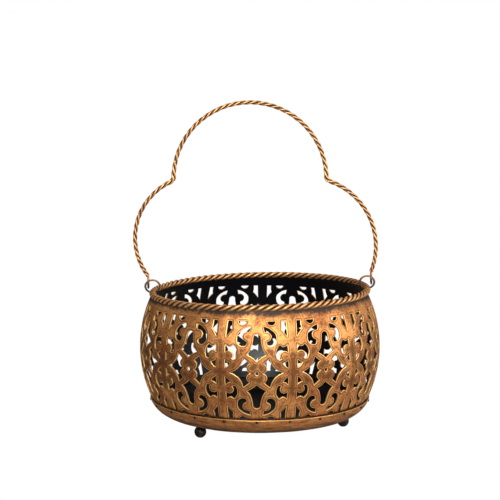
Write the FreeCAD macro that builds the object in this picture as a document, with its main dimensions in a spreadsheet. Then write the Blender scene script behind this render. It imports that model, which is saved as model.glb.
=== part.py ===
"""Tealight holder: a pierced ball-shaped bowl with a rope rim, ball feet and a twisted wire handle.

The frame is in millimetres with +Z up. The origin is on the table, on the bowl's upright axis.
+Y points away from the front, so the handle's loop lies in the XZ plane.
"""
import FreeCAD, Part
import math
import os
import Sketcher

os.makedirs("parts", exist_ok=True)
doc = FreeCAD.newDocument("TealightHolder")
Vector = FreeCAD.Vector
X_AXIS, Y_AXIS, Z_AXIS = Vector(1, 0, 0), Vector(0, 1, 0), Vector(0, 0, 1)

DRIVING_SIZES = {
    # the ball that the pierced sheet is spun to
    "ballRadius": 90.0,
    "ballHeight": 59.7,
    "sheetThickness": 1.2,
    "wallFootHeight": 17.2,
    "wallBlankTop": 101.5,
    "wallUnderRope": 2.45,
    # the pierced pattern
    "panelCount": 11,
    "panelTurn": -1.9,
    "patternHeight": 57.5,
    # the pan
    "panHeight": 8.4,
    "panThickness": 0.9,
    "panCornerRadius": 20.0,
    "panCornerCentre": 64.1,
    "panLipHeight": 21.5,
    # the ball feet
    "footRadius": 4.3,
    "footCircle": 63.9,
    "firstFootTurn": -42.5,
    # the rope rim and the two ears threaded through it
    "rimHeight": 101.1,
    "rimTilt": 1.2,
    "ropeRadius": 2.4,
    "ropeCircle": 80.45,
    "earRadius": 5.4,
    "earWire": 0.8,
    "earHole": 1.45,
    # the rivets in the pan's lip
    "rivetHeight": 20.1,
    "rivetShank": 0.7,
    "rivetClearance": 0.1,
    "rivetHead": 1.15,
    "rivetHeadHeight": 0.6,
    "rivetInnerReach": 1.35,
    "rivetLipStandoff": 0.55,
    # the handle
    "handleWire": 1.5,
    "eyeWire": 0.7,
    "eyeHalfWidth": 2.6,
    "eyeLength": 3.7,
    "eyeAngle": 55.0,
    "eyeNeck": 0.2,
    "kinkRadius": 4.0,
}

# Pierced outlines: (along, up, bow) in mm on the ball, from the flower's centre. Each point starts an
# edge, and bow is how far the middle of that edge lies to the left of a straight one.
FLOWER_EYE = [(1.5, 0, -1.5), (-1.5, 0, -1.5)]
SPADE = [
    (0, 8.8, 0), (6.5, 13.0, 0.5), (3.4, 17.8, 0.2), (2.6, 23.6, -3.2),
    (-2.6, 23.6, 0.2), (-3.4, 17.8, 0.5), (-6.5, 13.0, 0),
]
STAR = [
    (9.4, -10.4, 2.3), (18.8, 0, 2.3), (9.4, 10.4, 0), (6.1, 6.7, 1.9), (4.1, 0, 1.9), (6.1, -6.7, 0),
]
KNOT_DROP = [(22.9, 3.4, 0), (22.7, 9.3, 0.5), (18.2, 6.8, -0.5)]
BOOT = [
    (22.7, 15.4, 0), (22.5, 19.6, 0.4), (19.5, 17.3, 0.3), (16.6, 19.0, -0.8), (14.0, 14.6, -0.3),
    (15.0, 10.2, -0.7), (17.0, 10.7, 0), (16.1, 13.6, 1.6),
]
SCROLL = [
    (7.6, 21.9, -0.6), (8.6, 18.9, -1.9), (13.2, 23.6, -0.7), (10.6, 30.0, -0.6), (4.3, 32.6, 0),
    (5.7, 30.2, 0.8), (10.3, 26.6, 0.7), (9.9, 22.9, 0.1),
]
PENNANT = [(22.9, 25.0, 0), (22.9, 36.2, 0), (18.4, 36.2, 0.5), (18.1, 30.3, 0.3)]
HALF_MOON = [(14.8, 36.2, 0), (8.0, 36.2, -3.3)]

BOTH_WAYS = [(1, 1), (-1, 1), (1, -1), (-1, -1)]
PIERCINGS = [
    (FLOWER_EYE, [(1, 1)]),
    (SPADE, [(1, 1), (1, -1)]),
    (STAR, [(1, 1), (-1, 1)]),
    (KNOT_DROP, BOTH_WAYS),
    (BOOT, BOTH_WAYS),
    (SCROLL, BOTH_WAYS),
    (PENNANT, BOTH_WAYS),
    (HALF_MOON, BOTH_WAYS),
]

# Points of the handle's loop (x, z), which its three arcs run through
LEFT_BULGE = (-93.2, 138.0)
LEFT_KINK = (-64.2, 183.6)
HANDLE_TOP = (-9.9, 241.4)
RIGHT_KINK = (49.4, 184.0)
RIGHT_BULGE = (86.2, 141.0)


def make_sheet():
    """Write the driving sizes into the spreadsheet, a cell each, named by its alias."""
    sheet = doc.addObject("Spreadsheet::Sheet", "Sizes")
    for row, (alias, value) in enumerate(DRIVING_SIZES.items(), start=1):
        sheet.set("A%d" % row, alias)
        sheet.set("B%d" % row, str(value))
        sheet.setAlias("B%d" % row, alias)
    doc.recompute()
    return sheet


sheet = make_sheet()


def size(alias):
    """Read a driving size back from the spreadsheet."""
    return float(sheet.get(alias))


def bind(item, **expressions):
    """Tie an object's properties to spreadsheet cells."""
    for name, expression in expressions.items():
        item.setExpression(name, expression)
    return item


def add(kind, label, **expressions):
    """Add an object of a kind to the document, with its sizes bound."""
    item = doc.addObject(kind, label)
    item.Label = label
    return bind(item, **expressions)


def solid_feature(label, shape):
    """Add a shape that no parametric feature makes."""
    item = doc.addObject("Part::Feature", label)
    item.Label = label
    item.Shape = shape
    return item


def cut(label, base, tool):
    """Subtract one object from another."""
    item = add("Part::Cut", label)
    item.Base = base
    item.Tool = tool
    doc.recompute()
    return item


def upright_sketch(body, name):
    """Start a sketch on the body's XZ plane, whose upright axis is the bowl's."""
    plane = next(f for f in body.Origin.OriginFeatures if f.Role == "XZ_Plane")
    sketch = body.newObject("Sketcher::SketchObject", name)
    sketch.AttachmentSupport = [(plane, "")]
    sketch.MapMode = "FlatFace"
    doc.recompute()
    return sketch


def constrain(sketch, name, expression, *arguments):
    """Add a dimension to a sketch and tie it to the spreadsheet."""
    index = sketch.addConstraint(Sketcher.Constraint(*arguments))
    sketch.renameConstraint(index, name)
    sketch.setExpression("Constraints." + name, expression)


def spin(body, sketch):
    """Revolve a sketch a full turn about the bowl's axis."""
    turned = body.newObject("PartDesign::Revolution", body.Name + "_spun")
    turned.Profile = sketch
    turned.ReferenceAxis = (sketch, ["V_Axis"])
    turned.Angle = 360.0
    doc.recompute()


def sheet_arc(centre, radius, low, high):
    """An arc for a sketch, about a centre, between two heights, on its outer side."""
    start = math.asin((low - centre.y) / radius)
    end = math.asin((high - centre.y) / radius)
    return Part.ArcOfCircle(Part.Circle(centre, Z_AXIS, radius), start, end)


def make_wall_blank():
    """The plain spun sheet, a zone of a ball."""
    body = add("PartDesign::Body", "wall_blank")
    sketch = upright_sketch(body, "wall_section")
    radius, thickness = size("ballRadius"), size("sheetThickness")
    low, high = size("wallFootHeight"), size("wallBlankTop")
    centre = Vector(0, size("ballHeight"), 0)
    outer_arc = sheet_arc(centre, radius, low, high)
    inner_arc = sheet_arc(centre, radius - thickness, low, high)
    outer = sketch.addGeometry(outer_arc, False)
    inner = sketch.addGeometry(inner_arc, False)
    foot = sketch.addGeometry(Part.LineSegment(inner_arc.StartPoint, outer_arc.StartPoint), False)
    top = sketch.addGeometry(Part.LineSegment(outer_arc.EndPoint, inner_arc.EndPoint), False)
    link = Sketcher.Constraint
    sketch.addConstraint([
        link("Coincident", outer, 3, inner, 3),
        link("PointOnObject", outer, 3, -2),
        link("Coincident", foot, 2, outer, 1),
        link("Coincident", foot, 1, inner, 1),
        link("Coincident", top, 1, outer, 2),
        link("Coincident", top, 2, inner, 2),
        link("Horizontal", foot),
        link("Horizontal", top),
    ])
    constrain(sketch, "ball", "Sizes.ballRadius", "Radius", outer, radius)
    constrain(sketch, "inside", "Sizes.ballRadius - Sizes.sheetThickness", "Radius", inner, radius - thickness)
    constrain(sketch, "middle", "Sizes.ballHeight", "DistanceY", -1, 1, outer, 3, centre.y)
    constrain(sketch, "foot", "Sizes.wallFootHeight", "DistanceY", -1, 1, outer, 1, low)
    constrain(sketch, "top", "Sizes.wallBlankTop", "DistanceY", -1, 1, outer, 2, high)
    spin(body, sketch)
    return body


def rim_placement():
    """The frame of the rope rim: its centre on the bowl's axis, a little higher on the right."""
    tilt = FreeCAD.Rotation(Y_AXIS, -size("rimTilt"))
    return FreeCAD.Placement(Vector(0, 0, size("rimHeight")), tilt)


def make_rim_trim():
    """A block that trims the wall parallel to the rope rim, just under it."""
    block = add("Part::Box", "rim_trim")
    block.Length = block.Width = 3 * size("ballRadius")
    block.Height = size("ballRadius")
    corner = Vector(-block.Length.Value / 2, -block.Width.Value / 2, -size("wallUnderRope"))
    block.Placement = rim_placement().multiply(FreeCAD.Placement(corner, FreeCAD.Rotation()))
    return block


def on_ball(turn, along, up, radius):
    """The point of the ball at a place in the pattern of the panel at a turn."""
    ball = size("ballRadius")
    azimuth = turn + along / ball
    rise = (size("patternHeight") - size("ballHeight") + up) / ball
    flat = radius * math.cos(rise)
    height = size("ballHeight") + radius * math.sin(rise)
    return Vector(flat * math.sin(azimuth), -flat * math.cos(azimuth), height)


def bowed_middle(first, second, bow):
    """The middle of an edge that bows to the left of the line from first to second."""
    run, rise = second[0] - first[0], second[1] - first[1]
    length = math.hypot(run, rise)
    middle = ((first[0] + second[0]) / 2, (first[1] + second[1]) / 2)
    return middle[0] - rise / length * bow, middle[1] + run / length * bow


def piercing_cutter(outline, flips, turn):
    """A prism through the sheet, square to it at the hole's middle."""
    across, upward = flips
    middle_along = across * sum(p[0] for p in outline) / len(outline)
    middle_up = upward * sum(p[1] for p in outline) / len(outline)
    ball = size("ballRadius")
    centre = Vector(0, 0, size("ballHeight"))
    outward = (on_ball(turn, middle_along, middle_up, ball) - centre).normalize()

    def lift(along, up):
        ray = (on_ball(turn, across * along, upward * up, ball) - centre).normalize()
        return centre + ray * (ball / ray.dot(outward))

    edges = []
    for index, (along, up, bow) in enumerate(outline):
        after = outline[(index + 1) % len(outline)]
        start, end = lift(along, up), lift(after[0], after[1])
        if bow:
            middle = lift(*bowed_middle((along, up), after, bow))
            edges.append(Part.Arc(start, middle, end).toShape())
        else:
            edges.append(Part.LineSegment(start, end).toShape())
    reach = 4 * size("sheetThickness")
    face = Part.Face(Part.Wire(edges))
    face.translate(outward * -reach)
    return face.extrude(outward * 2 * reach)


def panel_turns():
    """The turn of each panel's middle about the bowl's axis, in radians."""
    count = int(size("panelCount"))
    first = math.radians(size("panelTurn"))
    return [first + 2 * math.pi * index / count for index in range(count)]


def make_piercings():
    """Every pierced hole's cutter, for all the panels."""
    prisms = [
        piercing_cutter(outline, flips, turn)
        for turn in panel_turns()
        for outline, copies in PIERCINGS
        for flips in copies
    ]
    return solid_feature("piercings", Part.makeCompound(prisms))


def rivet_frames():
    """A placement for each rivet: origin in the wall's mid thickness, +Z pointing out of the bowl."""
    half_panel = math.pi / size("panelCount")
    depth = math.sqrt((size("ballRadius") - size("sheetThickness") / 2) ** 2
                      - (size("rivetHeight") - size("ballHeight")) ** 2)
    frames = []
    for turn in panel_turns():
        for angle in (turn, turn + half_panel):
            outward = Vector(math.sin(angle), -math.cos(angle), 0)
            place = outward * depth + Z_AXIS * size("rivetHeight")
            frames.append(FreeCAD.Placement(place, FreeCAD.Rotation(Z_AXIS, outward)))
    return frames


def placed(shape, placement):
    """A copy of a shape, moved."""
    copy = shape.copy()
    copy.Placement = placement.multiply(copy.Placement)
    return copy


def make_rivet_drills():
    """The cutters for the rivets' holes, through wall and lip."""
    radius = size("rivetShank") + size("rivetClearance")
    depth = 4 * size("sheetThickness")
    drill = Part.makeCylinder(radius, 2 * depth, Vector(0, 0, -depth))
    return solid_feature("rivet_drills", Part.makeCompound([placed(drill, f) for f in rivet_frames()]))


def rivet_shape(outside):
    """One rivet: a shank with a domed head at each end, the outer one seated at a reach."""
    shank, head = size("rivetShank"), size("rivetHead")
    rise = size("rivetHeadHeight")
    inside = -size("rivetInnerReach")
    dome_radius = (head ** 2 + rise ** 2) / (2 * rise)
    body = Part.makeCylinder(shank, outside - inside, Vector(0, 0, inside))
    outer = Part.makeCylinder(head, rise, Vector(0, 0, outside)).common(
        Part.makeSphere(dome_radius, Vector(0, 0, outside + rise - dome_radius)))
    inner = Part.makeCylinder(head, rise, Vector(0, 0, inside - rise)).common(
        Part.makeSphere(dome_radius, Vector(0, 0, inside - rise + dome_radius)))
    return body.fuse([outer, inner]).removeSplitter()


def make_rivets():
    """The rivets that hold the bowl in the pan, two to a panel."""
    height = size("rivetHeight")
    corner, low = size("panCornerRadius"), size("panHeight")
    lip = size("panCornerCentre") + math.sqrt(corner ** 2 - (low + corner - height) ** 2)
    middle = math.sqrt((size("ballRadius") - size("sheetThickness") / 2) ** 2
                       - (height - size("ballHeight")) ** 2)
    rivet = rivet_shape(lip - middle + size("rivetLipStandoff"))
    return solid_feature("lip_rivets", Part.makeCompound([placed(rivet, f) for f in rivet_frames()]))


def make_wall(drills):
    """The pierced bowl."""
    trimmed = cut("wall_trimmed", make_wall_blank(), make_rim_trim())
    pierced = cut("wall_pierced", trimmed, make_piercings())
    return cut("pierced_wall", pierced, drills)


def make_pan_blank():
    """The shallow pan, before its rivet holes."""
    body = add("PartDesign::Body", "pan_blank")
    sketch = upright_sketch(body, "pan_section")
    low, thickness = size("panHeight"), size("panThickness")
    corner, middle, lip = size("panCornerRadius"), size("panCornerCentre"), size("panLipHeight")
    centre = Vector(middle, low + corner, 0)
    down = -math.pi / 2
    outer_end = math.asin((lip - centre.y) / corner)
    inner_end = math.asin((lip - centre.y) / (corner - thickness))
    outer_arc = Part.ArcOfCircle(Part.Circle(centre, Z_AXIS, corner), down, outer_end)
    inner_arc = Part.ArcOfCircle(Part.Circle(centre, Z_AXIS, corner - thickness), down, inner_end)
    outer = sketch.addGeometry(outer_arc, False)
    inner = sketch.addGeometry(inner_arc, False)
    under = Part.LineSegment(Vector(0, low, 0), Vector(middle, low, 0))
    floor = Part.LineSegment(Vector(0, low + thickness, 0), Vector(middle, low + thickness, 0))
    axis = Part.LineSegment(Vector(0, low + thickness, 0), Vector(0, low, 0))
    edge = Part.LineSegment(outer_arc.EndPoint, inner_arc.EndPoint)
    under, floor, axis, edge = [sketch.addGeometry(line, False) for line in (under, floor, axis, edge)]
    link = Sketcher.Constraint
    sketch.addConstraint([
        link("Tangent", under, 2, outer, 1),
        link("Coincident", edge, 1, outer, 2),
        link("Coincident", edge, 2, inner, 2),
        link("Tangent", floor, 2, inner, 1),
        link("Coincident", floor, 1, axis, 1),
        link("Coincident", axis, 2, under, 1),
        link("Coincident", outer, 3, inner, 3),
        link("Horizontal", under),
        link("Horizontal", edge),
        link("PointOnObject", under, 1, -2),
        link("PointOnObject", floor, 1, -2),
    ])
    constrain(sketch, "corner", "Sizes.panCornerRadius", "Radius", outer, corner)
    constrain(sketch, "inside", "Sizes.panCornerRadius - Sizes.panThickness", "Radius", inner, corner - thickness)
    constrain(sketch, "reach", "Sizes.panCornerCentre", "DistanceX", -1, 1, outer, 3, middle)
    constrain(sketch, "under", "Sizes.panHeight", "DistanceY", -1, 1, under, 1, low)
    constrain(sketch, "lip", "Sizes.panLipHeight", "DistanceY", -1, 1, outer, 2, lip)
    spin(body, sketch)
    return body


def make_foot(label, turn):
    """A ball foot, flattened on top where it is brazed to the pan."""
    flat = "asin((Sizes.panHeight - Sizes.footRadius) / Sizes.footRadius)"
    foot = add("Part::Sphere", label, Radius="Sizes.footRadius", Angle2=flat)
    angle = math.radians(turn)
    circle = size("footCircle")
    foot.Placement.Base = Vector(circle * math.sin(angle), -circle * math.cos(angle), size("footRadius"))
    return foot


def make_rope():
    """The rim's rope as one ring of its outer size, with a hole for each ear."""
    ring = add("Part::Torus", "rope_ring", Radius1="Sizes.ropeCircle", Radius2="Sizes.ropeRadius")
    ring.Placement = rim_placement()
    drills = []
    for name, side in (("left_ear_hole", -1), ("right_ear_hole", 1)):
        drill = add("Part::Cylinder", name, Radius="Sizes.earHole", Height="4 * Sizes.ropeRadius")
        middle = Vector(side * size("ropeCircle") - 2 * size("ropeRadius"), 0, size("earWire") / 3)
        lying = FreeCAD.Placement(middle, FreeCAD.Rotation(Z_AXIS, X_AXIS))
        drill.Placement = rim_placement().multiply(lying)
        drills.append(drill)
    both = add("Part::MultiFuse", "ear_holes")
    both.Shapes = drills
    doc.recompute()
    return cut("rim_rope", ring, both)


def make_ear(label, side):
    """A wire ring that stands on edge and passes through the rope rim at its foot."""
    ear = add("Part::Torus", label, Radius1="Sizes.earRadius", Radius2="Sizes.earWire")
    place = Vector(side * size("ropeCircle"), 0, size("earRadius"))
    ear.Placement = rim_placement().multiply(FreeCAD.Placement(place, FreeCAD.Rotation(X_AXIS, 90)))
    return ear


def pivot(side):
    """Where a handle's eye turns on its ear, on the ear's upper outer quarter."""
    angle = math.radians(size("eyeAngle"))
    reach = size("ropeCircle") + size("earRadius") * math.cos(angle)
    rise = size("earRadius") * (1 + math.sin(angle))
    return Vector(side * reach, 0, rise)


def make_eye(side):
    """A long closed eye of single wire, square to the swing's axis, hanging round the ear."""
    half, length = size("eyeHalfWidth"), size("eyeLength")
    near, far = Vector(0, half, 0), Vector(0, -half, 0)
    drop = Vector(0, 0, -length)
    straight = [Part.makeCylinder(size("eyeWire"), length, start + drop) for start in (near, far)]
    bend = Part.makeTorus(half, size("eyeWire"), Vector(), X_AXIS)
    reach = 2 * (half + size("eyeWire"))
    slab = Part.makeBox(2 * reach, 2 * reach, reach, Vector(-reach, -reach, 0))
    upper = bend.common(slab)
    lower = placed(bend.cut(slab), FreeCAD.Placement(drop, FreeCAD.Rotation()))
    eye = straight[0].fuse([straight[1], upper, lower]).removeSplitter()
    return placed(eye, rim_placement().multiply(FreeCAD.Placement(pivot(side), FreeCAD.Rotation())))


def arc_centre(first, second, third):
    """The centre and radius of the circle through three points of the XZ plane."""
    arc = Part.Arc(*[Vector(p[0], 0, p[1]) for p in (first, second, third)])
    circle = arc.toShape().Curve
    return circle.Center, circle.Radius


def meeting_point(first, second, near):
    """The crossing of two circles, each (centre, radius), that lies nearer to a point."""
    (centre, radius), (other, reach) = first, second
    span = other - centre
    length = span.Length
    along = (length ** 2 + radius ** 2 - reach ** 2) / (2 * length)
    aside = math.sqrt(radius ** 2 - along ** 2)
    base = centre + span * (along / length)
    normal = Vector(-span.z, 0, span.x) * (aside / length)
    return min((base + normal, base - normal), key=lambda point: (point - near).Length)


def kink(first, second, near):
    """The ends and middle of the small bend that joins two arcs at a kink, from outside both."""
    bend = size("kinkRadius")
    middle = meeting_point((first[0], first[1] + bend), (second[0], second[1] + bend), near)
    ends = [centre + (middle - centre).normalize() * radius for centre, radius in (first, second)]
    halfway = middle + ((ends[0] + ends[1]) / 2 - middle).normalize() * bend
    return ends[0], halfway, ends[1]


def handle_route():
    """The wire's centre line: three arcs that meet in two kinks, between the eyes."""
    stub = Vector(0, 0, size("eyeHalfWidth") + size("eyeNeck"))
    left, right = [rim_placement().multVec(pivot(side) + stub) for side in (-1, 1)]
    left_kink, top, right_kink = [Vector(p[0], 0, p[1]) for p in (LEFT_KINK, HANDLE_TOP, RIGHT_KINK)]
    left_arc = arc_centre((left.x, left.z), LEFT_BULGE, LEFT_KINK)
    top_arc = arc_centre(LEFT_KINK, HANDLE_TOP, RIGHT_KINK)
    right_arc = arc_centre(RIGHT_KINK, RIGHT_BULGE, (right.x, right.z))
    first = kink(left_arc, top_arc, left_kink)
    second = kink(top_arc, right_arc, right_kink)

    def middle_of(arc, start, end, towards):
        centre, radius = arc
        halfway = ((start + end) / 2 - centre).normalize()
        way = halfway if halfway.dot(towards - centre) > 0 else halfway * -1
        return centre + way * radius

    left_bulge = Vector(LEFT_BULGE[0], 0, LEFT_BULGE[1])
    right_bulge = Vector(RIGHT_BULGE[0], 0, RIGHT_BULGE[1])
    return [
        Part.Arc(left, middle_of(left_arc, left, first[0], left_bulge), first[0]),
        Part.Arc(*first),
        Part.Arc(first[2], middle_of(top_arc, first[2], second[0], top), second[0]),
        Part.Arc(*second),
        Part.Arc(second[2], middle_of(right_arc, second[2], right, right_bulge), right),
    ]


def make_handle():
    """The handle: one tube of the twisted wires' outer size, with an eye at each end."""
    route = handle_route()
    path = Part.Wire([arc.toShape() for arc in route])
    start = path.Edges[0].valueAt(path.Edges[0].FirstParameter)
    along = path.Edges[0].tangentAt(path.Edges[0].FirstParameter)
    section = Part.Wire(Part.makeCircle(size("handleWire"), start, along))
    tube = path.makePipeShell([section], True, False)
    expected = math.pi * size("handleWire") ** 2 * path.Length
    print("handle tube", round(tube.Volume), "mm3, section times length", round(expected), "mm3")
    return solid_feature("handle", tube.fuse([make_eye(-1), make_eye(1)]).removeSplitter())


def check_and_write(nodes):
    """Stop on any failed object or bad shape, then write each sub-part to its own file."""
    doc.recompute()
    for item in doc.Objects:
        if {"Invalid", "Error"} & set(item.State):
            raise RuntimeError("%s failed: %s" % (item.Label, item.State))
    for node in nodes:
        shape = node.Shape
        if shape.isNull() or not shape.isValid() or not shape.Solids:
            raise RuntimeError("%s has no valid solid" % node.Label)
        print("%-14s %3d solids %10.1f mm3" % (node.Label, len(shape.Solids), shape.Volume))
    for node in nodes:
        node.Shape.exportStep("parts/%s.step" % node.Label)


def main():
    """Build every sub-part of the holder and write them out."""
    drills = make_rivet_drills()
    nodes = [make_wall(drills), cut("base_pan", make_pan_blank(), drills), make_rivets(), make_rope()]
    third = 360.0 / 3
    for index, label in enumerate(("left_foot", "right_foot", "back_foot")):
        nodes.append(make_foot(label, size("firstFootTurn") + index * third))
    nodes += [make_ear("left_ear", -1), make_ear("right_ear", 1), make_handle()]
    for side, name in ((-1, "left"), (1, "right")):
        at = rim_placement().multVec(pivot(side))
        print(name, "pivot", [round(v, 2) for v in at], "rim end",
              [round(v, 2) for v in rim_placement().multVec(Vector(side * size("ropeCircle"), 0, 0))])
    check_and_write(nodes)


main()
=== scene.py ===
"""Looks of a pierced tealight holder with a rope rim, ball feet and a swinging twisted-wire handle.

Lengths in the classes are in millimetres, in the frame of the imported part: +Z is up, +Y points away
from the front, and the origin is on the table under the bowl's axis. Meshes are made in metres.
"""

import logging
import math
from dataclasses import dataclass
from enum import Enum
from typing import Sequence, Union

import bpy
import numpy as np
from mathutils import Matrix, Vector, noise
from mathutils.geometry import delaunay_2d_cdt


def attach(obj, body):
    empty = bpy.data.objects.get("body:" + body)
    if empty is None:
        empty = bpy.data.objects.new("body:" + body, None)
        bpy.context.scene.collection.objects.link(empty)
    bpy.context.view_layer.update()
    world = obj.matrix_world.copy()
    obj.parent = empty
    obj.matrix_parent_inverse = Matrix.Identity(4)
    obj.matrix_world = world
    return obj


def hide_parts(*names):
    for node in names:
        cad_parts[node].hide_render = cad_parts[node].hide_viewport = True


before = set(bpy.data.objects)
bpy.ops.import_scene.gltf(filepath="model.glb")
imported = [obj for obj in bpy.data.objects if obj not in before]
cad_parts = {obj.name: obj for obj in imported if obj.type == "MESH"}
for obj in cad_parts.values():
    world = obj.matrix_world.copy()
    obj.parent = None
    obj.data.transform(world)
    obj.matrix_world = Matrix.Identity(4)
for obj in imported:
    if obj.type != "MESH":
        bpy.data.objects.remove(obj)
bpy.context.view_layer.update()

MM = 0.001
log = logging.getLogger("tealight_holder")

Colour = tuple[float, float, float]
Point = tuple[float, float]
Outline = list[tuple[float, float, float]]


class Body(Enum):
    """The moving bodies of the part."""

    BOWL = "bowl"
    LEFT_EAR = "left_ear"
    RIGHT_EAR = "right_ear"
    HANDLE = "handle"


class Slot(Enum):
    """The material slots of the part's record."""

    SHEET = "sheet_gold"
    WIRE = "wire_gold"
    BRONZE = "dark_bronze"


class Side(Enum):
    """The two ends of the handle, by their sign along X."""

    LEFT = -1
    RIGHT = 1


# ---------------------------------------------------------------- shader workbench


class Signal:
    """An output socket that Python's operators turn into Math nodes."""

    def __init__(self, bench: "NodeBench", socket: bpy.types.NodeSocket) -> None:
        """Keep the socket and the bench that owns it."""
        self.bench = bench
        self.socket = socket

    def _math(self, operation: str, first: "Value", second: "Value") -> "Signal":
        """Add one Math node that combines two values."""
        return self.bench.node("ShaderNodeMath", {"operation": operation}, {0: first, 1: second})

    def __add__(self, other: "Value") -> "Signal":
        """Sum."""
        return self._math("ADD", self, other)

    def __radd__(self, other: "Value") -> "Signal":
        """Sum, number first."""
        return self._math("ADD", other, self)

    def __sub__(self, other: "Value") -> "Signal":
        """Difference."""
        return self._math("SUBTRACT", self, other)

    def __rsub__(self, other: "Value") -> "Signal":
        """Difference, number first."""
        return self._math("SUBTRACT", other, self)

    def __mul__(self, other: "Value") -> "Signal":
        """Product."""
        return self._math("MULTIPLY", self, other)

    def __rmul__(self, other: "Value") -> "Signal":
        """Product, number first."""
        return self._math("MULTIPLY", other, self)


Value = Union[Signal, float, Sequence[float]]


class NodeBench:
    """Adds nodes to one node tree."""

    def __init__(self, tree: bpy.types.NodeTree) -> None:
        """Keep the tree."""
        self.tree = tree

    def feed(self, socket: bpy.types.NodeSocket, value: Value) -> None:
        """Link a signal to a socket, or set its number.

        Args:
            socket: the input to feed.
            value: a signal, a number or a list of numbers.
        """
        if isinstance(value, Signal):
            self.tree.links.new(value.socket, socket)
        elif isinstance(value, (int, float)):
            socket.default_value = value
        else:
            wanted = len(socket.default_value)
            socket.default_value = (*value, 1.0)[:wanted]

    def node(self, kind: str, settings: dict, inputs: dict, output: Union[int, str] = 0) -> Signal:
        """Add a node, with its settings made before its inputs.

        Args:
            kind: the node's type.
            settings: properties by name.
            inputs: values or signals by the input's name or index.
            output: the output that is wanted.

        Returns:
            The wanted output.
        """
        made = self.tree.nodes.new(kind)
        for name, value in settings.items():
            setattr(made, name, value)
        for key, value in inputs.items():
            self.feed(made.inputs[key], value)
        return Signal(self, made.outputs[output])


class ShaderBench(NodeBench):
    """Builds the node tree of one material around its Principled shader."""

    def __init__(self, name: str) -> None:
        """Start an empty material.

        Args:
            name: the material's name.
        """
        self.material = bpy.data.materials.new(name)
        self.material.use_nodes = True
        super().__init__(self.material.node_tree)
        self.shader = self.tree.nodes["Principled BSDF"]
        self.place = self.node("ShaderNodeTexCoord", {}, {}, "Object")

    def attribute(self, name: str) -> Signal:
        """Read a number stored on the mesh."""
        return self.node("ShaderNodeAttribute", {"attribute_name": name}, {}, "Fac")

    def stretched(self, scale: Sequence[float]) -> Signal:
        """Object coordinates, scaled unevenly."""
        return self.node("ShaderNodeMapping", {}, {"Vector": self.place, "Scale": scale})

    def cloud(self, scale: float, detail: float = 4.0, rough: float = 0.55,
              at: Union[Signal, None] = None) -> Signal:
        """Soft noise over the object.

        Args:
            scale: cells per metre.
            detail: octaves.
            rough: how strong the fine octaves are.
            at: other coordinates than the object's.

        Returns:
            The noise, about 0.2 to 0.8.
        """
        where = self.place if at is None else at
        inputs = {"Vector": where, "Scale": scale, "Detail": detail, "Roughness": rough}
        return self.node("ShaderNodeTexNoise", {}, inputs, 0)

    def step(self, signal: Signal, low: float, high: float) -> Signal:
        """Rise smoothly from 0 at low to 1 at high.

        Args:
            signal: what rises.
            low: where the rise starts.
            high: where it ends.

        Returns:
            The step.
        """
        settings = {"interpolation_type": "SMOOTHSTEP"}
        return self.node("ShaderNodeMapRange", settings, {0: signal, 1: low, 2: high})

    def mix(self, mask: Value, first: Value, second: Value) -> Signal:
        """Blend two colours, first where the mask is 0."""
        return self.node("ShaderNodeMix", {"data_type": "RGBA"}, {0: mask, 6: first, 7: second}, 2)

    def bump(self, height: Signal, depth: float, strength: float) -> None:
        """Roughen the surface by a height signal.

        Args:
            height: the relief, 0 to 1.
            depth: how deep it is, in metres.
            strength: how much of it shows.
        """
        inputs = {"Height": height, "Distance": depth, "Strength": strength}
        self.feed(self.shader.inputs["Normal"], self.node("ShaderNodeBump", {}, inputs))

    def finish(self, **sockets: Value) -> bpy.types.Material:
        """Feed the shader's sockets by name, with _ for a space.

        Args:
            **sockets: values by the socket's name.

        Returns:
            The finished material.
        """
        for name, value in sockets.items():
            self.feed(self.shader.inputs[name.replace("_", " ")], value)
        return self.material


# ---------------------------------------------------------------- finishes


@dataclass(frozen=True)
class Gilding:
    """The colours that every gilded piece shares."""

    bright: Colour = (0.98, 0.58, 0.20)
    gold: Colour = (0.72, 0.325, 0.105)
    copper: Colour = (0.46, 0.160, 0.050)
    brown: Colour = (0.095, 0.036, 0.014)
    # Near black: the dark bronze, the wire's dark grooves and the pan's darkest lower parts, and also the
    # painted shade under the rope and the painted shadow in the gap above the pan's lip.
    black_and_shade: Colour = (0.010, 0.007, 0.006)


GILDING = Gilding()


@dataclass(frozen=True)
class SatinBlack:
    """The black lacquer inside the bowl and the pan, with a grey-lilac sheen."""

    colour: Colour = (0.0032, 0.0026, 0.0034)
    roughness: float = 0.25
    gloss: float = 0.30


LACQUER = SatinBlack()


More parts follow.
